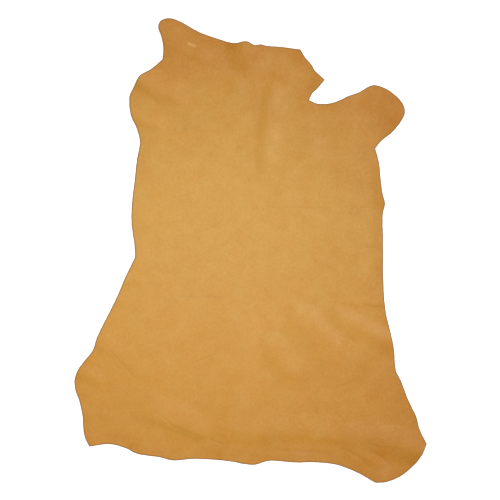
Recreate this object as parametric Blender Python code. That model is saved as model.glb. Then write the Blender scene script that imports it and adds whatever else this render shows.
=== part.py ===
# A whole small leather hide, lying flat with its grain side up.
# Across runs to the right and along runs towards the neck, both from the middle of the hide.
import math

import bmesh
import bpy
import numpy
from mathutils import Vector
from mathutils.geometry import delaunay_2d_cdt

# Driving sizes, in metres
hideLength = 1.044
hideWidth = 0.792
leatherThickness = 0.0014
edgeStep = 0.010
surfaceStep = 0.0145
mm = 0.001

# How closely curves are followed and how folds run into one another
curveParts = 16
crestPoints = 25
edgeClearance = 0.55
foldBlend = 3
sameSpot = 1e-6

# The trimmed outline, walked clockwise as seen from above.
# Each stretch is a smooth curve through its stations, and two stretches meet in a corner.
# Columns: across (mm), along (mm)
outlineStretches = {
    "left fore shank and neck edge": [
        (-198, 429),
        (-196, 451),
        (-199, 476),
        (-206.5, 500),
        (-203, 513.5),
        (-182, 521),
        (-158.5, 514),
        (-113.5, 490),
        (-68.5, 474),
        (-35, 464.5),
        (-9.5, 468),
        (4, 462),
        (11, 459.5),
        (23, 462),
        (34, 459.5),
        (66.5, 457.5),
        (112, 451),
    ],
    "neck side": [
        (112, 451),
        (122, 434),
        (138, 415.5),
        (144, 404.5),
        (166.5, 382.5),
    ],
    "neck notch": [
        (166.5, 382.5),
        (149.5, 362.5),
        (140, 354),
        (131, 337.5),
    ],
    "right fore shank": [
        (131, 337.5),
        (149.5, 330),
        (179, 330.5),
        (201.5, 338),
        (218.5, 346),
        (246.5, 357),
        (264, 368),
        (278.5, 371.5),
        (302.5, 364),
        (326, 346.5),
        (341.5, 327.5),
        (345, 306),
        (324, 272),
        (292.5, 244.5),
        (280, 229.5),
    ],
    "right flank": [
        (280, 229.5),
        (287.5, 200.5),
        (292, 160),
        (296.5, 126.5),
        (301.5, 106),
        (297, 80),
        (297.5, 23.5),
        (298, -65),
        (303, -133),
        (315, -187),
        (322, -225),
        (327, -270.5),
        (337.5, -291.5),
        (353, -333),
        (371.5, -371),
        (380, -402),
        (395, -433),
    ],
    "right hind shank": [
        (395, -433),
        (382, -460),
        (365, -483.5),
        (336.5, -506.5),
        (306, -518),
        (281, -520.5),
    ],
    "tail edge": [
        (281, -520.5),
        (235, -496),
        (190, -480),
        (150, -475.5),
        (96, -475),
        (41, -472),
        (11, -480.5),
        (-12.5, -479.5),
        (-46, -473),
        (-125, -467.5),
        (-174.5, -471),
        (-203.5, -463.5),
        (-256, -455.5),
        (-280, -443.5),
        (-316, -434.5),
        (-361.5, -439.5),
    ],
    "left hind shank": [
        (-361.5, -439.5),
        (-373.5, -412),
        (-377.5, -367),
        (-385, -335.5),
        (-392.5, -316),
        (-395, -289.5),
        (-388, -269),
        (-372.5, -247),
        (-354.5, -224),
        (-345.5, -197.5),
        (-333, -170),
        (-302.5, -109.5),
        (-281, -60),
        (-259, -14.5),
    ],
    "left flank and shoulder": [
        (-259, -14.5),
        (-260, 10),
        (-267, 60),
        (-266.5, 101.5),
        (-260, 158.5),
        (-255, 203.5),
        (-248.5, 245),
        (-256, 275),
        (-268, 303),
        (-272, 345),
        (-261, 370),
        (-247, 393),
        (-225, 406.5),
        (-198, 429),
    ],
}

# The main folds, each a soft ridge along a curved crest.
# Columns: name, crest start, middle and end (across, along in mm), rise at the start and at the end (mm),
# reach on the upper or right side and on the lower or left side (mm), fade in and fade out along it (mm)
foldRidges = [
    ("spine", (56, 382), (39, 274), (31, 144), 3.7, 3.5, 42, 28, 26, 60),
    ("spine, neck end", (46, 390), (66, 397), (100, 400), 1.8, 1.2, 46, 20, 14, 30),
    ("neck fold", (-12, 482), (-5, 436), (44, 396), 12.5, 4.4, 80, 50, 0, 70),
    ("neck hollow", (-34, 392), (-30, 368), (-30, 340), 2.4, 1.4, 30, 44, 15, 20),
    ("left fore shank fold", (-200, 470), (-140, 448), (-84, 422), 2.0, 3.0, 40, 24, 12, 40),
    ("left shoulder pucker", (-266, 426), (-232, 371), (-124, 338), 8.4, 2.0, 52, 28, 0, 56),
    ("left arm pucker", (-274, 303), (-238, 290), (-186, 274), 3.4, 1.2, 28, 18, 0, 40),
    ("right shoulder mound", (142, 268), (140, 216), (152, 156), 2.2, 2.2, 50, 46, 30, 40),
    ("right shank fold", (216, 372), (215, 304), (211, 236), 3.6, 2.6, 32, 70, 0, 50),
    ("right side curl", (298, 214), (305, 150), (308, 76), 3.0, 3.6, 20, 38, 20, 30),
    ("flank edge line", (214, -120), (262, -122), (314, -124), 0.6, 1.0, 34, 7, 20, 0),
    ("flank fold, upper", (156, -124), (232, -165), (326, -212), 1.3, 3.8, 30, 40, 34, 0),
    ("flank fold, middle", (78, -130), (148, -176), (228, -268), 4.2, 2.4, 40, 70, 30, 60),
    ("flank fold, lower", (36, -176), (62, -242), (112, -302), 1.8, 1.8, 50, 34, 40, 40),
    ("rump line", (-4, -90), (-14, -236), (-42, -396), 1.4, 5.6, 42, 100, 90, 0),
    ("tail fold, left arc", (-270, -358), (-178, -386), (-84, -423), 1.4, 5.2, 60, 26, 45, 24),
    ("tail fold, left", (-110, -408), (-20, -408), (84, -417), 2.8, 3.2, 50, 34, 30, 45),
    ("tail fold, middle", (26, -411), (130, -413), (250, -429), 1.8, 2.6, 56, 24, 40, 44),
    ("tail fold, right", (176, -418), (296, -431), (408, -462), 2.2, 10.4, 48, 42, 46, 0),
    ("right hind shank fold", (222, -440), (262, -462), (300, -506), 2.2, 1.8, 26, 22, 20, 16),
    ("left hind fold, upper", (-358, -192), (-322, -216), (-266, -266), 1.2, 0.8, 36, 20, 0, 60),
    ("left hind fold, middle", (-400, -262), (-360, -282), (-312, -308), 2.2, 1.0, 28, 26, 0, 45),
    ("left hind fold, lower", (-386, -360), (-345, -366), (-288, -377), 1.3, 0.7, 26, 24, 0, 50),
    ("left belly pucker, upper", (-292, -66), (-262, -66), (-228, -71), 1.4, 0.4, 24, 16, 0, 30),
    ("left belly pucker, lower", (-314, -110), (-290, -112), (-260, -119), 1.2, 0.4, 22, 18, 0, 26),
]

# Places where the trimmed edge curls off the ground.
# Columns: name, across (mm), along (mm), radius (mm), rise (mm)
edgeLifts = [
    ("left fore shank end", -194, 512, 70, 5),
    ("neck corner", 118, 452, 48, 3),
    ("neck tip", 170, 384, 50, 5),
    ("notch", 128, 330, 34, 2.5),
    ("right fore shank end", 346, 312, 92, 8),
    ("tail lobe", 296, -522, 55, 5),
    ("tail edge, right", 108, -480, 42, 2.5),
    ("tail edge, left", -216, -466, 42, 2),
    ("left hind corner", -364, -440, 45, 2),
    ("left belly point", -262, -10, 45, 2),
]

leatherColour = (0.520, 0.275, 0.075, 1.0)
leatherRoughness = 0.55


def smoothCurve(stations, step):
    # Centripetal spline through the stations, resampled at even steps, without its last point
    points = [Vector(station) for station in stations]
    points.insert(0, points[0] * 2 - points[1])
    points.append(points[-1] * 2 - points[-2])
    fine = []
    for index in range(1, len(points) - 2):
        before, start, end, after = points[index - 1:index + 3]
        knots = [0.0]
        for first, second in ((before, start), (start, end), (end, after)):
            knots.append(knots[-1] + math.sqrt((second - first).length))
        for part in range(curveParts):
            at = knots[1] + (knots[2] - knots[1]) * part / curveParts
            low = before.lerp(start, (at - knots[0]) / (knots[1] - knots[0]))
            middle = start.lerp(end, (at - knots[1]) / (knots[2] - knots[1]))
            high = end.lerp(after, (at - knots[2]) / (knots[3] - knots[2]))
            inner = low.lerp(middle, (at - knots[0]) / (knots[2] - knots[0]))
            outer = middle.lerp(high, (at - knots[1]) / (knots[3] - knots[1]))
            fine.append(inner.lerp(outer, (at - knots[1]) / (knots[2] - knots[1])))
    fine.append(points[-2])
    lengths = numpy.cumsum([0.0] + [(b - a).length for a, b in zip(fine, fine[1:])])
    count = max(2, round(lengths[-1] / step))
    wanted = numpy.linspace(0.0, lengths[-1], count + 1)[:-1]
    across = numpy.interp(wanted, lengths, [point.x for point in fine])
    along = numpy.interp(wanted, lengths, [point.y for point in fine])
    return list(zip(across, along))


def traceOutline(step):
    # The whole outline in metres, stretched to the driving length and width
    loop = []
    for stations in outlineStretches.values():
        loop += smoothCurve(stations, step / mm)
    loop = numpy.array(loop)
    low = loop.min(axis=0)
    high = loop.max(axis=0)
    size = numpy.array((hideWidth, hideLength))
    return (loop - (low + high) / 2) * size / (high - low)


def softStep(value):
    value = numpy.clip(value, 0.0, 1.0)
    return value * value * (3 - 2 * value)


def ridgeHeight(spot, ridge):
    # Height in mm that one ridge gives at each spot
    name, start, middle, end, startRise, endRise, upperReach, lowerReach, fadeIn, fadeOut = ridge
    start, middle, end = (numpy.array(point, float) for point in (start, middle, end))
    share = numpy.linspace(0.0, 1.0, crestPoints)[:, None]
    pull = 2 * middle - (start + end) / 2
    crest = (1 - share) ** 2 * start + 2 * share * (1 - share) * pull + share ** 2 * end
    spans = numpy.diff(crest, axis=0)
    spanLengths = numpy.hypot(spans[:, 0], spans[:, 1])
    total = spanLengths.sum()
    nearest = numpy.full(len(spot), numpy.inf)
    offset = numpy.zeros(len(spot))
    travelled = numpy.zeros(len(spot))
    walked = 0.0
    for base, span, length in zip(crest, spans, spanLengths):
        away = spot - base
        along = numpy.clip((away @ span) / length ** 2, 0.0, 1.0)
        gap = away - along[:, None] * span
        distance = numpy.hypot(gap[:, 0], gap[:, 1])
        side = numpy.sign(span[0] * away[:, 1] - span[1] * away[:, 0])
        closer = distance < nearest
        nearest = numpy.where(closer, distance, nearest)
        offset = numpy.where(closer, distance * side, offset)
        travelled = numpy.where(closer, walked + along * length, travelled)
        walked += length
    reach = numpy.where(offset > 0, upperReach, lowerReach)
    profile = numpy.cos(numpy.clip(numpy.abs(offset) / reach, 0.0, 1.0) * math.pi) / 2 + 0.5
    rise = startRise + (endRise - startRise) * travelled / total
    if fadeIn > 0:
        rise = rise * softStep(travelled / fadeIn)
    if fadeOut > 0:
        rise = rise * softStep((total - travelled) / fadeOut)
    return rise * profile


def liftHeight(spot, lift):
    name, across, along, radius, rise = lift
    distance = numpy.hypot(spot[:, 0] - across, spot[:, 1] - along)
    return rise * (numpy.cos(numpy.clip(distance / radius, 0.0, 1.0) * math.pi) / 2 + 0.5)


def undersideHeight(points):
    # Overlapping folds blend instead of piling up, and the rest stays flat on the ground
    spot = numpy.array(points) / mm
    total = numpy.zeros(len(spot))
    for ridge in foldRidges:
        total += ridgeHeight(spot, ridge) ** foldBlend
    for lift in edgeLifts:
        total += liftHeight(spot, lift) ** foldBlend
    return total ** (1 / foldBlend) * mm


def insideOutline(points, loop):
    inside = numpy.zeros(len(points), bool)
    for start, end in zip(loop, numpy.roll(loop, -1, axis=0)):
        crosses = (start[1] > points[:, 1]) != (end[1] > points[:, 1])
        if start[1] != end[1]:
            at = start[0] + (points[:, 1] - start[1]) * (end[0] - start[0]) / (end[1] - start[1])
            inside ^= crosses & (points[:, 0] < at)
    return inside


def surfacePoints(loop):
    # Even triangular spacing over the hide, kept clear of the outline
    rowStep = surfaceStep * math.sqrt(3) / 2
    rowCount = round(hideLength / rowStep)
    columnCount = round(hideWidth / surfaceStep)
    points = []
    for row in range(rowCount + 1):
        shift = surfaceStep / 2 if row % 2 else 0.0
        for column in range(columnCount + 1):
            points.append((
                (column - columnCount / 2) * surfaceStep + shift,
                (row - rowCount / 2) * rowStep,
            ))
    points = numpy.array(points)
    points = points[insideOutline(points, loop)]
    gaps = numpy.linalg.norm(points[:, None, :] - loop[None, :, :], axis=2).min(axis=1)
    return points[gaps > surfaceStep * edgeClearance]


def leatherMaterial():
    material = bpy.data.materials.new("leather")
    material.use_nodes = True
    shader = material.node_tree.nodes["Principled BSDF"]
    shader.inputs["Base Color"].default_value = leatherColour
    shader.inputs["Roughness"].default_value = leatherRoughness
    return material


def buildHide():
    loop = traceOutline(edgeStep)
    points = numpy.vstack((loop, surfacePoints(loop)))
    edges = [(index, (index + 1) % len(loop)) for index in range(len(loop))]
    flat = [Vector(point) for point in points]
    corners, _, faces, _, _, _ = delaunay_2d_cdt(flat, edges, [], 1, sameSpot)
    heights = undersideHeight([(corner.x, corner.y) for corner in corners])

    shell = bmesh.new()
    vertices = [shell.verts.new((corner.x, corner.y, height)) for corner, height in zip(corners, heights)]
    for face in faces:
        shell.faces.new([vertices[index] for index in face])
    bmesh.ops.recalc_face_normals(shell, faces=shell.faces)
    if sum(face.normal.z for face in shell.faces) < 0:
        bmesh.ops.reverse_faces(shell, faces=shell.faces)
    mesh = bpy.data.meshes.new("hide")
    shell.to_mesh(mesh)
    shell.free()

    hide = bpy.data.objects.new("hide", mesh)
    hide.data.materials.append(leatherMaterial())
    bpy.context.scene.collection.objects.link(hide)
    thickness = hide.modifiers.new("leather thickness", "SOLIDIFY")
    thickness.thickness = leatherThickness
    thickness.offset = 1.0
    thickness.use_rim = True
    return hide


for existing in list(bpy.data.objects):
    bpy.data.objects.remove(existing)
buildHide()
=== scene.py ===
import math

import bpy
import numpy
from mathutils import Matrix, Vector, kdtree, noise
from mathutils.geometry import delaunay_2d_cdt


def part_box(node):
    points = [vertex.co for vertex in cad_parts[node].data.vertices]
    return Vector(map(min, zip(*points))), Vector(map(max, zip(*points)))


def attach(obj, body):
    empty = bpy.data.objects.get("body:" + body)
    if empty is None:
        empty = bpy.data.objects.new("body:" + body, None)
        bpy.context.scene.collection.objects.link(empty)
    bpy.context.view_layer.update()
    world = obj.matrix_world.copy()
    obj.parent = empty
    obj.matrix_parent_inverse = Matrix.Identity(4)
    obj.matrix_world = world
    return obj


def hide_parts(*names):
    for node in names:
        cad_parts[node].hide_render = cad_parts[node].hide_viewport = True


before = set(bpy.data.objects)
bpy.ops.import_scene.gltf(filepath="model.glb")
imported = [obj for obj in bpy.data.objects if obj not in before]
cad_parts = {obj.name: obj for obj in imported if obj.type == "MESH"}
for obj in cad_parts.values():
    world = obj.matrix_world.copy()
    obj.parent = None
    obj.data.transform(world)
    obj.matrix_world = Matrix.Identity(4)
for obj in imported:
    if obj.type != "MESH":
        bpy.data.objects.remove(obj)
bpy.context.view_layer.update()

mm = 0.001

# The hide. Every spot is (across, along) in mm from its middle: across runs right, along runs to the neck.
hide = {
    "piece": "leather_hide",
    "node": "hide",
    "body": "root",
    "slot": "tan_leather",
    "thickness": 1.4,  # mm, as are all sizes here
    "surface step": 4.1,  # spacing of the skin's points
    "least gap": 0.6,  # between two of them, as a share of the step
    "edge step": 3.0,
    "knife wander": 0.45,  # how far the trimming knife strays
    "knife wander length": 11.0,
    "knife wander seed": 3.7,
    "fold blend": 3,  # higher keeps overlapping folds apart, lower rounds them together
    "swell": 0.55,  # the skin never lies quite flat
    "swell length": 75.0,
    "swell seed": 11.3,
    "ripple": 0.14,
    "ripple length": 26.0,
    "ripple seed": 29.1,
}

# How the creases run and how they are meshed, in mm where nothing else is said
creasing = {
    "wander": 2.2,  # how far a crease strays from its curve
    "wander length": 24.0,
    "wander seed": 47.9,
    "fade": 0.3,  # share of its length, at each end
    "row places": (0.0, -0.45, 0.45, -1.0, 1.0),  # rows of points, as shares of its half width
    "row spacing": 2.6,
    "row gap": 1.2,
    "least points": 4,
}

curveParts = 16  # between two stations of the outline
crestPoints = 25
creasePoints = 30
sharpestTurn = 0.6  # a corner's point moves in by at most 1 / this
sameSpot = 1e-5
grainSlot, fleshSlot, cutSlot = 0, 1, 2

# Cross section of the cut edge. Columns: inset from the outline (mm), share of the thickness
grainLayer = 0.5  # the painted shade along the cut edge reaches down to this share of it
edgeSection = [
    (1.5, 1.0),
    (0.6, 0.93),
    (0.1, 0.74),
    (0.0, 0.40),
    (0.3, 0.08),
    (1.5, 0.0),
]

# The trimmed outline, walked clockwise as seen from above.
# Each stretch is a smooth curve through its stations, and two stretches meet in a corner.
outlineStretches = {
    "left fore shank and neck edge": [
        (-198, 429),
        (-196, 451),
        (-199, 476),
        (-206.5, 500),
        (-203, 513.5),
        (-182, 521),
        (-158.5, 514),
        (-113.5, 490),
        (-68.5, 474),
        (-35, 464.5),
        (-9.5, 468),
        (4, 462),
        (11, 459.5),
        (23, 462),
        (34, 459.5),
        (66.5, 457.5),
        (112, 451),
    ],
    "neck side": [
        (112, 451),
        (122, 434),
        (138, 415.5),
        (144, 404.5),
        (166.5, 382.5),
    ],
    "neck notch": [
        (166.5, 382.5),
        (149.5, 362.5),
        (140, 354),
        (131, 337.5),
    ],
    "right fore shank": [
        (131, 337.5),
        (149.5, 330),
        (179, 330.5),
        (201.5, 338),
        (218.5, 346),
        (246.5, 357),
        (264, 368),
        (278.5, 371.5),
        (302.5, 364),
        (326, 346.5),
        (341.5, 327.5),
        (345, 306),
        (324, 272),
        (292.5, 244.5),
        (280, 229.5),
    ],
    "right flank": [
        (280, 229.5),
        (287.5, 200.5),
        (292, 160),
        (296.5, 126.5),
        (301.5, 106),
        (297, 80),
        (297.5, 23.5),
        (298, -65),
        (303, -133),
        (315, -187),
        (322, -225),
        (327, -270.5),
        (337.5, -291.5),
        (353, -333),
        (371.5, -371),
        (380, -402),
        (395, -433),
    ],
    "right hind shank": [
        (395, -433),
        (382, -460),
        (365, -483.5),
        (336.5, -506.5),
        (306, -518),
        (281, -520.5),
    ],
    "tail edge": [
        (281, -520.5),
        (235, -496),
        (190, -480),
        (150, -475.5),
        (96, -475),
        (41, -472),
        (11, -480.5),
        (-12.5, -479.5),
        (-46, -473),
        (-125, -467.5),
        (-174.5, -471),
        (-203.5, -463.5),
        (-256, -455.5),
        (-280, -443.5),
        (-316, -434.5),
        (-361.5, -439.5),
    ],
    "left hind shank": [
        (-361.5, -439.5),
        (-373.5, -412),
        (-377.5, -367),
        (-385, -335.5),
        (-392.5, -316),
        (-395, -289.5),
        (-388, -269),
        (-372.5, -247),
        (-354.5, -224),
        (-345.5, -197.5),
        (-333, -170),
        (-302.5, -109.5),
        (-281, -60),
        (-259, -14.5),
    ],
    "left flank and shoulder": [
        (-259, -14.5),
        (-260, 10),
        (-267, 60),
        (-266.5, 101.5),
        (-260, 158.5),
        (-255, 203.5),
        (-248.5, 245),
        (-256, 275),
        (-268, 303),
        (-272, 345),
        (-261, 370),
        (-247, 393),
        (-225, 406.5),
        (-198, 429),
    ],
}

# The main folds, each a soft ridge along a curved crest, as in the solid.
# Columns: name, crest start, middle and end, rise at the start and at the end,
# reach on the upper or right side and on the lower or left side, fade in and fade out along it
foldRidges = [
    ("spine", (56, 382), (39, 274), (31, 144), 3.7, 3.5, 42, 28, 26, 60),
    ("spine, neck end", (46, 390), (66, 397), (100, 400), 1.8, 1.2, 46, 20, 14, 30),
    ("neck fold", (-12, 482), (-5, 436), (44, 396), 12.5, 4.4, 80, 50, 0, 70),
    ("neck hollow", (-34, 392), (-30, 368), (-30, 340), 2.4, 1.4, 30, 44, 15, 20),
    ("left fore shank fold", (-200, 470), (-140, 448), (-84, 422), 2.0, 3.0, 40, 24, 12, 40),
    ("left shoulder pucker", (-266, 426), (-232, 371), (-124, 338), 8.4, 2.0, 52, 28, 0, 56),
    ("left arm pucker", (-274, 303), (-238, 290), (-186, 274), 3.4, 1.2, 28, 18, 0, 40),
    ("right shoulder mound", (142, 268), (140, 216), (152, 156), 2.2, 2.2, 50, 46, 30, 40),
    ("right shank fold", (216, 372), (215, 304), (211, 236), 3.6, 2.6, 32, 70, 0, 50),
    ("right side curl", (298, 214), (305, 150), (308, 76), 3.0, 3.6, 20, 38, 20, 30),
    ("flank edge line", (214, -120), (262, -122), (314, -124), 0.6, 1.0, 34, 7, 20, 0),
    ("flank fold, upper", (156, -124), (232, -165), (326, -212), 1.3, 3.8, 30, 40, 34, 0),
    ("flank fold, middle", (78, -130), (148, -176), (228, -268), 4.2, 2.4, 40, 70, 30, 60),
    ("flank fold, lower", (36, -176), (62, -242), (112, -302), 1.8, 1.8, 50, 34, 40, 40),
    ("rump line", (-4, -90), (-14, -236), (-42, -396), 1.4, 5.6, 42, 100, 90, 0),
    ("tail fold, left arc", (-270, -358), (-178, -386), (-84, -423), 1.4, 5.2, 60, 26, 45, 24),
    ("tail fold, left", (-110, -408), (-20, -408), (84, -417), 2.8, 3.2, 50, 34, 30, 45),
    ("tail fold, middle", (26, -411), (130, -413), (250, -429), 1.8, 2.6, 56, 24, 40, 44),
    ("tail fold, right", (176, -418), (296, -431), (408, -462), 2.2, 10.4, 48, 42, 46, 0),
    ("right hind shank fold", (222, -440), (262, -462), (300, -506), 2.2, 1.8, 26, 22, 20, 16),
    ("left hind fold, upper", (-358, -192), (-322, -216), (-266, -266), 1.2, 0.8, 36, 20, 0, 60),
    ("left hind fold, middle", (-400, -262), (-360, -282), (-312, -308), 2.2, 1.0, 28, 26, 0, 45),
    ("left hind fold, lower", (-386, -360), (-345, -366), (-288, -377), 1.3, 0.7, 26, 24, 0, 50),
    ("left belly pucker, upper", (-292, -66), (-262, -66), (-228, -71), 1.4, 0.4, 24, 16, 0, 30),
    ("left belly pucker, lower", (-314, -110), (-290, -112), (-260, -119), 1.2, 0.4, 22, 18, 0, 26),
]

# Places where the trimmed edge curls off the ground.
# Columns: name, across, along, radius, rise
edgeLifts = [
    ("left fore shank end", -194, 512, 70, 5),
    ("neck corner", 118, 452, 48, 3),
    ("neck tip", 170, 384, 50, 5),
    ("notch", 128, 330, 34, 2.5),
    ("right fore shank end", 346, 312, 92, 8),
    ("tail lobe", 296, -522, 55, 5),
    ("tail edge, right", 108, -480, 42, 2.5),
    ("tail edge, left", -216, -466, 42, 2),
    ("left hind corner", -364, -440, 45, 2),
    ("left belly point", -262, -10, 45, 2),
]

# Creases pressed into the grain, too fine for the solid.
# Columns: name, start, middle and end, depth, half width
creases = [
    ("back diagonal", (-88, -18), (-20, 52), (46, 108), 0.30, 3.2),
    ("storage fold across the shoulders", (-14, 95), (90, 96), (200, 93), 0.26, 3.6),
    ("storage fold, right end", (214, 92), (250, 95), (298, 97), 0.20, 3.0),
    ("storage fold across the rump", (-186, -103), (-110, -106), (-40, -104), 0.22, 3.4),
    ("flank edge line", (244, -123), (270, -125), (302, -126), 0.30, 3.2),
    ("right side tick", (246, 5), (272, 7), (290, 6), 0.22, 2.8),
    ("left hind diagonal", (-346, -196), (-292, -250), (-238, -312), 0.22, 3.4),
    ("left hip curve", (-206, -362), (-166, -396), (-96, -421), 0.36, 3.4),
    ("left hip curve, end", (-100, -418), (-76, -430), (-50, -441), 0.42, 3.2),
    ("rump tick", (-148, -264), (-108, -245), (-64, -229), 0.26, 2.8),
    ("right thigh, rising", (110, -358), (138, -330), (166, -292), 0.34, 3.2),
    ("right thigh, across", (182, -316), (214, -301), (250, -289), 0.30, 3.0),
    ("right thigh, falling", (184, -356), (202, -376), (220, -400), 0.28, 3.0),
    ("right hind line", (226, -391), (296, -394), (372, -391), 0.34, 3.2),
    ("tail edge pinch", (-266, -430), (-271, -440), (-278, -450), 1.00, 3.2),
    ("neck edge pinch", (20, 466), (24, 455), (26, 441), 0.70, 3.4),
    ("neck line", (-118, 421), (-80, 408), (-44, 390), 0.26, 3.0),
    ("tail lobe, upper", (232, -430), (300, -442), (372, -453), 0.50, 5.0),
    ("tail lobe, tongue", (198, -444), (234, -459), (266, -482), 0.45, 4.5),
    ("tail lobe, falling", (250, -438), (290, -462), (326, -494), 0.35, 4.5),
    ("tail edge, long", (30, -450), (110, -452), (194, -456), 0.32, 3.6),
]


def smoothCurve(stations, step):
    # Centripetal spline through the stations, resampled at even steps, without its last point
    points = [Vector(station) for station in stations]
    points.insert(0, points[0] * 2 - points[1])
    points.append(points[-1] * 2 - points[-2])
    fine = []
    for index in range(1, len(points) - 2):
        before, start, end, after = points[index - 1:index + 3]
        knots = [0.0]
        for first, second in ((before, start), (start, end), (end, after)):
            knots.append(knots[-1] + math.sqrt((second - first).length))
        for part in range(curveParts):
            at = knots[1] + (knots[2] - knots[1]) * part / curveParts
            low = before.lerp(start, (at - knots[0]) / (knots[1] - knots[0]))
            middle = start.lerp(end, (at - knots[1]) / (knots[2] - knots[1]))
            high = end.lerp(after, (at - knots[2]) / (knots[3] - knots[2]))
            inner = low.lerp(middle, (at - knots[0]) / (knots[2] - knots[0]))
            outer = middle.lerp(high, (at - knots[1]) / (knots[3] - knots[1]))
            fine.append(inner.lerp(outer, (at - knots[1]) / (knots[2] - knots[1])))
    fine.append(points[-2])
    lengths = numpy.cumsum([0.0] + [(b - a).length for a, b in zip(fine, fine[1:])])
    count = max(2, round(lengths[-1] / step))
    wanted = numpy.linspace(0.0, lengths[-1], count + 1)[:-1]
    across = numpy.interp(wanted, lengths, [point.x for point in fine])
    along = numpy.interp(wanted, lengths, [point.y for point in fine])
    return list(zip(across, along))


def inwards(loop):
    # For each outline point, the step that moves it 1 mm into the hide; the walk is clockwise
    forward = numpy.roll(loop, -1, axis=0) - loop
    forward /= numpy.linalg.norm(forward, axis=1)[:, None]
    right = numpy.stack((forward[:, 1], -forward[:, 0]), axis=1)
    middle = right + numpy.roll(right, 1, axis=0)
    middle /= numpy.linalg.norm(middle, axis=1)[:, None]
    spread = numpy.clip((middle * right).sum(axis=1), sharpestTurn, 1.0)
    return middle / spread[:, None]


def wander(spots, length, seed):
    return numpy.array([noise.noise(Vector((x / length, y / length, seed))) for x, y in spots])


def traceOutline():
    # The outline in mm, stretched to the solid's own width and length, then trimmed by hand
    low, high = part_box(hide["node"])
    loop = []
    for stations in outlineStretches.values():
        loop += smoothCurve(stations, hide["edge step"])
    loop = numpy.array(loop)
    size = numpy.array((high[0] - low[0], high[1] - low[1])) / mm
    loopLow, loopHigh = loop.min(axis=0), loop.max(axis=0)
    loop = (loop - (loopLow + loopHigh) / 2) * size / (loopHigh - loopLow)
    stray = hide["knife wander"] * wander(loop, hide["knife wander length"], hide["knife wander seed"])
    return loop + inwards(loop) * stray[:, None]


def softStep(value):
    value = numpy.clip(value, 0.0, 1.0)
    return value * value * (3 - 2 * value)


def crestLine(start, middle, end, count=crestPoints):
    # Curve that leaves the start, passes through the middle and reaches the end
    start, middle, end = (numpy.array(point, float) for point in (start, middle, end))
    share = numpy.linspace(0.0, 1.0, count)[:, None]
    pull = 2 * middle - (start + end) / 2
    return (1 - share) ** 2 * start + 2 * share * (1 - share) * pull + share ** 2 * end


def readCrest(spots, crest):
    # Signed distance of each spot from the crest, how far along it lies, and the crest's length
    spans = numpy.diff(crest, axis=0)
    spanLengths = numpy.hypot(spans[:, 0], spans[:, 1])
    nearest = numpy.full(len(spots), numpy.inf)
    offset = numpy.zeros(len(spots))
    travelled = numpy.zeros(len(spots))
    walked = 0.0
    for base, span, length in zip(crest, spans, spanLengths):
        away = spots - base
        along = numpy.clip((away @ span) / length ** 2, 0.0, 1.0)
        gap = away - along[:, None] * span
        distance = numpy.hypot(gap[:, 0], gap[:, 1])
        side = numpy.sign(span[0] * away[:, 1] - span[1] * away[:, 0])
        closer = distance < nearest
        nearest = numpy.where(closer, distance, nearest)
        offset = numpy.where(closer, distance * side, offset)
        travelled = numpy.where(closer, walked + along * length, travelled)
        walked += length
    return offset, travelled, walked


def ridgeHeight(spots, ridge):
    _, start, middle, end, startRise, endRise, upperReach, lowerReach, fadeIn, fadeOut = ridge
    offset, travelled, total = readCrest(spots, crestLine(start, middle, end))
    reach = numpy.where(offset > 0, upperReach, lowerReach)
    profile = numpy.cos(numpy.clip(numpy.abs(offset) / reach, 0.0, 1.0) * math.pi) / 2 + 0.5
    rise = startRise + (endRise - startRise) * travelled / total
    if fadeIn > 0:
        rise = rise * softStep(travelled / fadeIn)
    if fadeOut > 0:
        rise = rise * softStep((total - travelled) / fadeOut)
    return rise * profile


def liftHeight(spots, lift):
    _, across, along, radius, rise = lift
    distance = numpy.hypot(spots[:, 0] - across, spots[:, 1] - along)
    return rise * (numpy.cos(numpy.clip(distance / radius, 0.0, 1.0) * math.pi) / 2 + 0.5)


def undersideHeight(spots):
    # Overlapping folds blend instead of piling up, and a low swell runs under everything
    power = hide["fold blend"]
    total = numpy.zeros(len(spots))
    for ridge in foldRidges:
        total += ridgeHeight(spots, ridge) ** power
    for lift in edgeLifts:
        total += liftHeight(spots, lift) ** power
    height = total ** (1 / power)
    for wave in ("swell", "ripple"):
        height += hide[wave] * (0.5 + wander(spots, hide[wave + " length"], hide[wave + " seed"]) * 0.5)
    return height


def creaseCrest(start, middle, end):
    # A crease wanders a little as it runs
    crest = crestLine(start, middle, end, creasePoints)
    along = crest[-1] - crest[0]
    sideways = numpy.array((-along[1], along[0])) / numpy.hypot(*along)
    stray = wander(crest, creasing["wander length"], creasing["wander seed"]) * creasing["wander"]
    return crest + sideways * stray[:, None]


def creaseDepth(spots):
    # How deep the creases press at each spot, and how much of a crease it is from 0 to 1
    depth = numpy.zeros(len(spots))
    mark = numpy.zeros(len(spots))
    for _, start, middle, end, deepest, halfWidth in creases:
        offset, travelled, total = readCrest(spots, creaseCrest(start, middle, end))
        profile = numpy.clip(1 - (offset / halfWidth) ** 2, 0.0, 1.0) ** 2
        fade = total * creasing["fade"]
        ends = softStep(travelled / fade) * softStep((total - travelled) / fade)
        depth = numpy.maximum(depth, deepest * profile * ends)
        mark = numpy.maximum(mark, profile * ends)
    return depth, mark


def insideOutline(points, loop):
    inside = numpy.zeros(len(points), bool)
    for start, end in zip(loop, numpy.roll(loop, -1, axis=0)):
        crosses = (start[1] > points[:, 1]) != (end[1] > points[:, 1])
        if start[1] != end[1]:
            at = start[0] + (points[:, 1] - start[1]) * (end[0] - start[0]) / (end[1] - start[1])
            inside ^= crosses & (points[:, 0] < at)
    return inside


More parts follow.
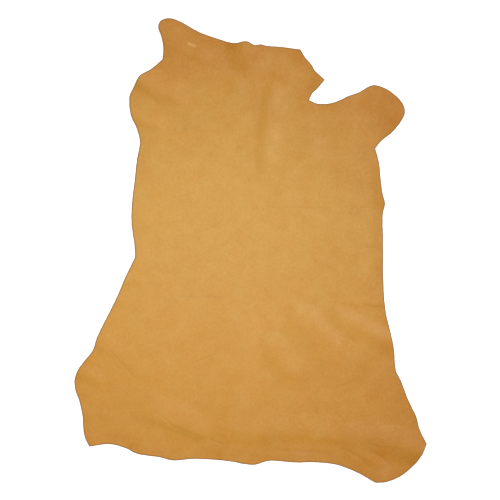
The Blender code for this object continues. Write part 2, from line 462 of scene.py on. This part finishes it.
def thinOut(kept, wanted, gap):
    # The wanted points that stay clear of those kept and of each other
    tree = kdtree.KDTree(len(kept))
    for index, point in enumerate(kept):
        tree.insert((point[0], point[1], 0.0), index)
    tree.balance()
    cells = {}
    clear = []
    for point in wanted:
        if tree.find((point[0], point[1], 0.0))[2] < gap:
            continue
        column, row = int(point[0] // gap), int(point[1] // gap)
        near = [
            other
            for x in (column - 1, column, column + 1)
            for y in (row - 1, row, row + 1)
            for other in cells.get((x, y), ())
        ]
        if all(math.hypot(point[0] - x, point[1] - y) >= gap for x, y in near):
            cells.setdefault((column, row), []).append(tuple(point))
            clear.append(tuple(point))
    return numpy.array(clear)


def creaseRows(loop):
    # Rows of points along every crease
    rows = []
    for _, start, middle, end, _, halfWidth in creases:
        crest = creaseCrest(start, middle, end)
        spans = numpy.diff(crest, axis=0)
        spans = numpy.vstack((spans, spans[-1:]))
        sideways = numpy.stack((-spans[:, 1], spans[:, 0]), axis=1)
        sideways /= numpy.linalg.norm(sideways, axis=1)[:, None]
        lengths = numpy.cumsum([0.0] + list(numpy.hypot(*numpy.diff(crest, axis=0).T)))
        count = max(creasing["least points"], round(lengths[-1] / creasing["row spacing"]))
        wanted = numpy.linspace(0.0, lengths[-1], count)
        for share in creasing["row places"]:
            line = crest + sideways * share * halfWidth
            rows.append(numpy.stack([numpy.interp(wanted, lengths, line[:, k]) for k in (0, 1)], axis=1))
    rows = numpy.vstack(rows)
    return thinOut(loop, rows[insideOutline(rows, loop)], creasing["row gap"])


def surfacePoints(loop):
    # The creases' points, then an even triangular spacing over the rest
    rows = creaseRows(loop)
    step = hide["surface step"]
    rowStep = step * math.sqrt(3) / 2
    low, high = loop.min(axis=0), loop.max(axis=0)
    grid = []
    for row in range(int((high[1] - low[1]) / rowStep) + 1):
        shift = step / 2 if row % 2 else 0.0
        for column in range(int((high[0] - low[0]) / step) + 1):
            grid.append((low[0] + column * step + shift, low[1] + row * rowStep))
    grid = numpy.array(grid)
    grid = thinOut(numpy.vstack((loop, rows)), grid[insideOutline(grid, loop)], step * hide["least gap"])
    return numpy.vstack((rows, grid))


def buildHide():
    outline = traceOutline()
    intoHide = inwards(outline)
    rim = outline + intoHide * edgeSection[0][0]
    points = numpy.vstack((rim, surfacePoints(rim)))
    count = len(rim)
    edges = [(index, (index + 1) % count) for index in range(count)]
    flat = [Vector(point) for point in points]
    corners, _, triangles, origins, _, _ = delaunay_2d_cdt(flat, edges, [], 1, sameSpot)
    skin = numpy.array([(corner.x, corner.y) for corner in corners])
    rimAt = {source: index for index, sources in enumerate(origins) for source in sources if source < count}
    print(f"skin: {len(skin)} points, {len(triangles)} triangles a side")

    thickness = hide["thickness"]
    under = undersideHeight(skin)
    depth, mark = creaseDepth(skin)
    places = [numpy.column_stack((skin, under + thickness - depth)), numpy.column_stack((skin, under))]
    rings = [[rimAt[index] for index in range(count)]]
    first = 2 * len(skin)
    for inset, share in edgeSection[1:-1]:
        ring = outline + intoHide * inset
        places.append(numpy.column_stack((ring, undersideHeight(ring) + thickness * share)))
        rings.append(list(range(first, first + count)))
        first += count
    rings.append([len(skin) + rimAt[index] for index in range(count)])

    faces = []
    slots = []
    for triangle in triangles:
        a, b, c = triangle
        turn = numpy.cross(skin[b] - skin[a], skin[c] - skin[a])
        up = (a, b, c) if turn > 0 else (a, c, b)
        faces.append(up)
        slots.append(grainSlot)
        faces.append(tuple(len(skin) + corner for corner in reversed(up)))
        slots.append(fleshSlot)
    for level, (upper, lower) in enumerate(zip(rings, rings[1:])):
        for index in range(count):
            after = (index + 1) % count
            faces.append((upper[index], upper[after], lower[after], lower[index]))
            slots.append(grainSlot if level == 0 else cutSlot)

    mesh = bpy.data.meshes.new(hide["piece"])
    mesh.from_pydata(numpy.vstack(places) * mm, [], faces)
    mesh.polygons.foreach_set("material_index", slots)
    mesh.shade_smooth()

    # What the finish reads at each point: mm from the cut edge, and how much of a crease it is
    tree = kdtree.KDTree(count)
    for index, point in enumerate(outline):
        tree.insert((point[0], point[1], 0.0), index)
    tree.balance()
    fromEdge = [tree.find((x, y, 0.0))[2] for x, y in skin]
    for index in range(count):
        fromEdge[rimAt[index]] = edgeSection[0][0]
    fromEdge = fromEdge * 2
    for inset, share in edgeSection[1:-1]:
        fromEdge += [inset if share > grainLayer else 0.0] * count
    creaseMark = list(mark) + [0.0] * (len(fromEdge) - len(mark))
    mesh.attributes.new("fromEdge", "FLOAT", "POINT").data.foreach_set("value", fromEdge)
    mesh.attributes.new("creaseMark", "FLOAT", "POINT").data.foreach_set("value", creaseMark)
    mesh.update()

    piece = bpy.data.objects.new(hide["piece"], mesh)
    bpy.context.scene.collection.objects.link(piece)
    for material in (grainSide(), fleshSide(), cutEdge()):
        piece.data.materials.append(material)
    after = numpy.roll(outline, -1, axis=0)
    area = abs((outline[:, 0] * after[:, 1] - outline[:, 1] * after[:, 0]).sum()) / 2 * mm * mm
    size = (outline.max(axis=0) - outline.min(axis=0)) * mm
    print(f"hide: {size[0]:.3f} x {size[1]:.3f} m, {area:.3f} square metres, {len(mesh.polygons)} faces")
    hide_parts(hide["node"])
    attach(piece, hide["body"])
    return piece


class Wire:
    # A socket that can be reckoned with: each sum adds its Math node
    def __init__(self, finish, socket):
        self.finish = finish
        self.socket = socket

    def maths(self, operation, first, second):
        return self.finish.node("ShaderNodeMath", {"operation": operation}, (first, second))

    def __add__(self, other):
        return self.maths("ADD", self, other)

    def __sub__(self, other):
        return self.maths("SUBTRACT", self, other)

    def __rsub__(self, other):
        return self.maths("SUBTRACT", other, self)

    def __mul__(self, other):
        return self.maths("MULTIPLY", self, other)

    __radd__ = __add__
    __rmul__ = __mul__


class Finish:
    # A material being put together round its Principled shader
    def __init__(self, name):
        self.material = bpy.data.materials.new(name)
        self.material.use_nodes = True
        self.tree = self.material.node_tree
        self.shader = self.tree.nodes["Principled BSDF"]

    def fill(self, made, inputs):
        pairs = inputs.items() if isinstance(inputs, dict) else enumerate(inputs)
        for key, value in pairs:
            if isinstance(value, Wire):
                self.tree.links.new(value.socket, made.inputs[key])
            else:
                made.inputs[key].default_value = value

    def node(self, kind, settings=None, inputs=(), output=0):
        # Settings first, then the sockets by name or in order; gives one output
        made = self.tree.nodes.new(kind)
        for name, value in (settings or {}).items():
            setattr(made, name, value)
        self.fill(made, inputs)
        return Wire(self, made.outputs[output])

    def place(self):
        # Where a point lies on the hide, in mm
        spot = self.node("ShaderNodeTexCoord", output="Object")
        return self.vector("SCALE", spot, {"Scale": 1 / mm})

    def vector(self, operation, first, more, output=0):
        inputs = {0: first}
        inputs.update(more)
        return self.node("ShaderNodeVectorMath", {"operation": operation}, inputs, output)

    def clouds(self, spot, size, detail=2.0, rough=0.5):
        # Soft noise from 0 to 1 with features of one size in mm
        inputs = {"Vector": spot, "Scale": 1 / size, "Detail": detail, "Roughness": rough}
        return self.node("ShaderNodeTexNoise", {}, inputs)

    def ease(self, value, low, high, lowResult=0.0, highResult=1.0):
        inputs = {"Value": value, "From Min": low, "From Max": high, "To Min": lowResult, "To Max": highResult}
        return self.node("ShaderNodeMapRange", {"interpolation_type": "SMOOTHSTEP"}, inputs)

    def blend(self, factor, first, second):
        # Sockets 6 and 7 and output 2 are the Mix node's colour ones
        return self.node("ShaderNodeMix", {"data_type": "RGBA"}, {0: factor, 6: first, 7: second}, 2)

    def pointValue(self, name):
        return self.node("ShaderNodeAttribute", {"attribute_name": name}, output="Fac")

    def nearLine(self, spot, start, end, reach):
        # 1 on the line from start to end, fading to 0 at its reach
        run = (end[0] - start[0], end[1] - start[1], 0.0)
        away = self.vector("SUBTRACT", spot, {1: (start[0], start[1], 0.0)})
        away = self.vector("MULTIPLY", away, {1: (1.0, 1.0, 0.0)})
        share = self.vector("DOT_PRODUCT", away, {1: run}, "Value") * (1 / (run[0] ** 2 + run[1] ** 2))
        share = self.node("ShaderNodeClamp", {}, {"Value": share})
        foot = self.vector("SCALE", run, {"Scale": share})
        gap = self.vector("DISTANCE", away, {1: foot}, "Value")
        return self.ease(gap, 0.0, reach, 1.0, 0.0)


grain = {
    "centre tone": (0.473, 0.239, 0.0295, 1.0),  # the pale middle of the back
    "rump tone": (0.468, 0.214, 0.022, 1.0),
    "outer tone": (0.380, 0.144, 0.005, 1.0),  # neck, shanks and rim
    # painted shade darkening the creases
    "painted crease shade": (0.300, 0.125, 0.012, 1.0),
    # painted shade: a dark band along the cut edge
    "rim shade tone": (0.190, 0.080, 0.018, 1.0),
    "scar tone": (0.620, 0.380, 0.130, 1.0),
    "fleck tint": (0.42, 0.27, 0.075),  # taken off where the mottling is strong
    "hue shift": (-0.012, 0.050, 0.032),  # added and taken off by the hue clouds
    "pale centre": (-130.0, -70.0, 0.0),
    "pale reach": (700.0, 645.0),
    "pale span": (0.23, 1.15),  # shares of that reach where the outer tone starts and is full
    "tail span": (-180.0, 330.0),  # mm towards the tail where the rump tone starts and is full
    "rim reach": 40.0,
    "rim depth": 0.10,
    "rim shade span": (1.0, 3.6),  # mm from the cut edge where the painted shade along the rim fades
    "rim shade share": 0.90,
    "rim shade wander": 1.2,
    "crease shade share": 0.16,
    "scar wobble": 3.0,
    "pebble": 1.25,  # mm across one pebble of the grain
    "pebble smoothness": 0.6,
    "pebble bend": 1.6,  # mm that the pebbles are pushed about
    "pebble bend scale": 0.30,
    "pebble height": 0.10,
    "roughness": 0.52,
    "specular": 0.4,
}

# Clouds of the grain side. Columns: size (mm), detail, roughness of the detail
grainClouds = {
    "broad": (110.0, 3.0, 0.55),
    "patches": (34.0, 4.0, 0.5),
    "hues": (45.0, 4.0, 0.7),
    "flecks": (5.0, 4.0, 0.75),
    "crumple": (7.5, 4.0, 0.6),
    "pores": (0.55, 3.0, 0.6),
}
hueClouds = (900.0, 0.0, 0.0)  # read off the hide, so that they match no other clouds

# How much each of them counts
reliefWeights = {"pebbles": 0.75, "pores": 0.35, "crumple": 1.5}
toneWeights = {"broad": 0.35, "patches": 0.12, "flecks": 0.34, "pebbles": 0.06, "level": -0.02}
shineWeights = {"deepness": 0.10, "mottling": 0.14, "crease": -0.05}

# Healed scars and nicks in the grain. Columns: start, end, reach, strength
scars = [
    ((-137, 467), (-124, 461), 5.6, 0.36),
]


# Where the tone is deeper or paler; the deeper patch over the lifted right fore shank is painted shade. Columns:
# name, across, along, reach, added depth of tone
toneAndShadePatches = [
    ("neck, left", -120, 452, 130, 0.10),
    # painted shade of the lifted shank
    ("right fore shank", 312, 315, 110, 0.16),
    ("left belly", -240, -95, 160, -0.10),
    ("right hip", 262, -180, 110, -0.12),
]


def grainSide():
    finish = Finish("leather grain side")
    spot = finish.place()

    # Pebbles of the grain, uneven in size, with hair-fine lines between them
    bendInputs = {"Vector": spot, "Scale": grain["pebble bend scale"], "Detail": 2.0}
    bend = finish.node("ShaderNodeTexNoise", {}, bendInputs, "Color")
    bent = finish.vector("ADD", spot, {1: finish.vector("SCALE", bend, {"Scale": grain["pebble bend"]})})
    pebbleInputs = {"Vector": bent, "Scale": 1 / grain["pebble"], "Smoothness": grain["pebble smoothness"]}
    pebbles = finish.node("ShaderNodeTexVoronoi", {"feature": "SMOOTH_F1"}, pebbleInputs)
    pores = finish.clouds(spot, *grainClouds["pores"])
    crumple = finish.clouds(spot, *grainClouds["crumple"])
    height = (1 - pebbles) * reliefWeights["pebbles"] + pores * reliefWeights["pores"]
    height = height + crumple * reliefWeights["crumple"]
    bumpInputs = {"Strength": 1.0, "Distance": grain["pebble height"] * mm, "Height": height}
    bump = finish.node("ShaderNodeBump", {}, bumpInputs)

    # The tone deepens away from the middle of the back and in the listed patches, one of them painted shade over the
    # lifted right fore shank
    reach = grain["pale reach"]
    away = finish.vector("SUBTRACT", spot, {1: grain["pale centre"]})
    away = finish.vector("MULTIPLY", away, {1: (1 / reach[0], 1 / reach[1], 0.0)})
    away = finish.vector("LENGTH", away, {}, "Value")
    broad = finish.clouds(spot, *grainClouds["broad"]) - 0.5
    fromEdge = finish.pointValue("fromEdge")
    deepness = finish.ease(away + broad * toneWeights["broad"], *grain["pale span"])
    deepness = deepness + finish.ease(fromEdge, 0.0, grain["rim reach"], grain["rim depth"], 0.0)
    for _, across, along, patchReach, depth in toneAndShadePatches:
        gap = finish.vector("DISTANCE", spot, {1: (across, along, 0.0)}, "Value")
        deepness = deepness + finish.ease(gap, 0.0, patchReach, depth, 0.0)
    towardsTail = finish.node("ShaderNodeSeparateXYZ", {}, (spot,), 1) * -1
    colour = finish.blend(finish.ease(towardsTail, *grain["tail span"]), grain["centre tone"], grain["rump tone"])
    colour = finish.blend(deepness, colour, grain["outer tone"])

    # Mottling of several sizes, in tone and in hue
    patches = finish.clouds(spot, *grainClouds["patches"]) - 0.5
    flecks = finish.clouds(spot, *grainClouds["flecks"]) - 0.5
    mottling = patches * toneWeights["patches"] + flecks * toneWeights["flecks"]
    mottling = mottling + pebbles * toneWeights["pebbles"] + toneWeights["level"]
    colour = finish.vector("SUBTRACT", colour, {1: finish.vector("SCALE", grain["fleck tint"], {"Scale": mottling})})
    hues = finish.clouds(finish.vector("ADD", spot, {1: hueClouds}), *grainClouds["hues"]) - 0.5
    colour = finish.vector("ADD", colour, {1: finish.vector("SCALE", grain["hue shift"], {"Scale": hues})})

    # Painted shade in the creases, pale scars, and painted shade along the cut edge
    creaseMark = finish.pointValue("creaseMark")
    # Painted shade: the colour darkens along the creases
    colour = finish.blend(creaseMark * grain["crease shade share"], colour, grain["painted crease shade"])
    wobble = finish.vector("ADD", spot, {1: finish.vector("SCALE", bend, {"Scale": grain["scar wobble"]})})
    for start, end, scarReach, strength in scars:
        scar = finish.nearLine(wobble, start, end, scarReach)
        colour = finish.blend(scar * strength, colour, grain["scar tone"])
    # Painted shade: the grain side darkens in a band along the cut edge, standing in for the edge's shadow
    fromCut = fromEdge + flecks * grain["rim shade wander"]
    rimShade = finish.ease(fromCut, *grain["rim shade span"], grain["rim shade share"], 0.0)
    colour = finish.blend(rimShade, colour, grain["rim shade tone"])

    shine = grain["roughness"] + deepness * shineWeights["deepness"]
    shine = shine + (patches + flecks) * shineWeights["mottling"] + creaseMark * shineWeights["crease"]
    finish.fill(finish.shader, {"Base Color": colour, "Roughness": shine, "Normal": bump})
    finish.fill(finish.shader, {"Specular IOR Level": grain["specular"]})
    return finish.material


flesh = {
    "pale tone": (0.560, 0.370, 0.170, 1.0),
    "deep tone": (0.430, 0.255, 0.095, 1.0),
    "combed": (1.0, 0.45, 1.0),  # the nap lies along the back
    "nap": (1.6, 5.0, 0.7),  # size (mm), detail, roughness of the detail, as below
    "fluff": (3.2 / 7, 3.0, 0.7),
    "patches": (42.0, 4.0, 0.6),
    "shade span": (0.4, 0.9),
    "nap height": 0.22,
    "roughness": 0.95,
    "specular": 0.2,
    "sheen": 0.25,
    "sheen roughness": 0.6,
}


def fleshSide():
    # The split underside: pale, napped, with loose fibres
    finish = Finish("leather flesh side")
    spot = finish.place()
    combed = finish.vector("MULTIPLY", spot, {1: flesh["combed"]})
    nap = finish.clouds(combed, *flesh["nap"])
    fluff = finish.clouds(combed, *flesh["fluff"])
    patches = finish.clouds(spot, *flesh["patches"])
    shade = finish.ease(nap * 0.5 + fluff * 0.3 + patches * 0.5, *flesh["shade span"])
    colour = finish.blend(shade, flesh["deep tone"], flesh["pale tone"])
    bumpInputs = {"Strength": 1.0, "Distance": flesh["nap height"] * mm, "Height": nap + fluff * 0.5}
    bump = finish.node("ShaderNodeBump", {}, bumpInputs)
    finish.fill(finish.shader, {"Base Color": colour, "Roughness": flesh["roughness"], "Normal": bump})
    finish.fill(finish.shader, {"Specular IOR Level": flesh["specular"]})
    finish.fill(finish.shader, {"Sheen Weight": flesh["sheen"], "Sheen Roughness": flesh["sheen roughness"]})
    return finish.material


edge = {
    "grain tone": (0.215, 0.115, 0.040, 1.0),
    "core tone": (0.400, 0.245, 0.105, 1.0),
    "layers": (1.0, 1.0, 3.5),  # the fibres lie flat
    "fibres": (0.5, 4.0, 0.7),  # size (mm), detail, roughness of the detail
    "shade span": (0.3, 0.8),
    "fibre height": 0.15,
    "roughness": 0.85,
}


def cutEdge():
    # The knife-cut edge: packed fibres, darker than either face
    finish = Finish("leather cut edge")
    layered = finish.vector("MULTIPLY", finish.place(), {1: edge["layers"]})
    fibres = finish.clouds(layered, *edge["fibres"])
    colour = finish.blend(finish.ease(fibres, *edge["shade span"]), edge["grain tone"], edge["core tone"])
    bumpInputs = {"Strength": 0.8, "Distance": edge["fibre height"] * mm, "Height": fibres}
    bump = finish.node("ShaderNodeBump", {}, bumpInputs)
    finish.fill(finish.shader, {"Base Color": colour, "Roughness": edge["roughness"], "Normal": bump})
    return finish.material


studio = {
    "floor size": 60.0,
    "floor drop": 0.0006,
    "floor tone": (0.92, 0.92, 0.92, 1.0),
    "floor roughness": 0.9,
    "floor glow": 0.38,  # an overlit white table
    "window from": (0.40, 0.30, 1.00),  # a broad window light, beyond the neck and to the right
    "window strength": 1.92,
    "window spread": 24.0,  # degrees
    "lamp place": (-0.13, -0.02, 1.0),
    "lamp size": 0.4,
    "lamp watts": 2.1,
    "room light": 0.595,
    "camera place": (-0.0011, 0.0011, 2.5),
    "lens": 80.0,
    "view width": 1.125,
}


def layFloor():
    half = studio["floor size"] / 2
    low = -studio["floor drop"]
    mesh = bpy.data.meshes.new("floor")
    corners = [(-half, -half, low), (half, -half, low), (half, half, low), (-half, half, low)]
    mesh.from_pydata(corners, [], [(0, 1, 2, 3)])
    floor = bpy.data.objects.new("floor", mesh)
    bpy.context.scene.collection.objects.link(floor)
    finish = Finish("pale table")
    finish.fill(finish.shader, {"Base Color": studio["floor tone"], "Roughness": studio["floor roughness"]})
    finish.fill(finish.shader, {"Emission Color": (1.0, 1.0, 1.0, 1.0), "Emission Strength": studio["floor glow"]})
    floor.data.materials.append(finish.material)


def lightRoom():
    window = bpy.data.lights.new("window light", "SUN")
    window.energy = studio["window strength"]
    window.angle = math.radians(studio["window spread"])
    holder = bpy.data.objects.new("window light", window)
    holder.rotation_euler = Vector(studio["window from"]).to_track_quat("Z", "Y").to_euler()
    bpy.context.scene.collection.objects.link(holder)

    lamp = bpy.data.lights.new("soft lamp", "AREA")
    lamp.shape = "DISK"
    lamp.size = studio["lamp size"]
    lamp.energy = studio["lamp watts"]
    holder = bpy.data.objects.new("soft lamp", lamp)
    holder.location = studio["lamp place"]
    holder.visible_camera = False
    bpy.context.scene.collection.objects.link(holder)

    world = bpy.data.worlds.new("room")
    world.use_nodes = True
    background = world.node_tree.nodes["Background"]
    background.inputs["Color"].default_value = (1.0, 1.0, 1.0, 1.0)
    background.inputs["Strength"].default_value = studio["room light"]
    bpy.context.scene.world = world


def setCamera():
    # Straight above, the neck at the top of the picture
    lens = bpy.data.cameras.new("camera")
    lens.lens = studio["lens"]
    lens.sensor_width = studio["view width"] * studio["lens"] / studio["camera place"][2]
    camera = bpy.data.objects.new("camera", lens)
    camera.location = studio["camera place"]
    bpy.context.scene.collection.objects.link(camera)
    bpy.context.scene.camera = camera
    bpy.context.scene.view_settings.view_transform = "Standard"


buildHide()
print("hide laid")
layFloor()
lightRoom()
setCamera()
print("studio set")
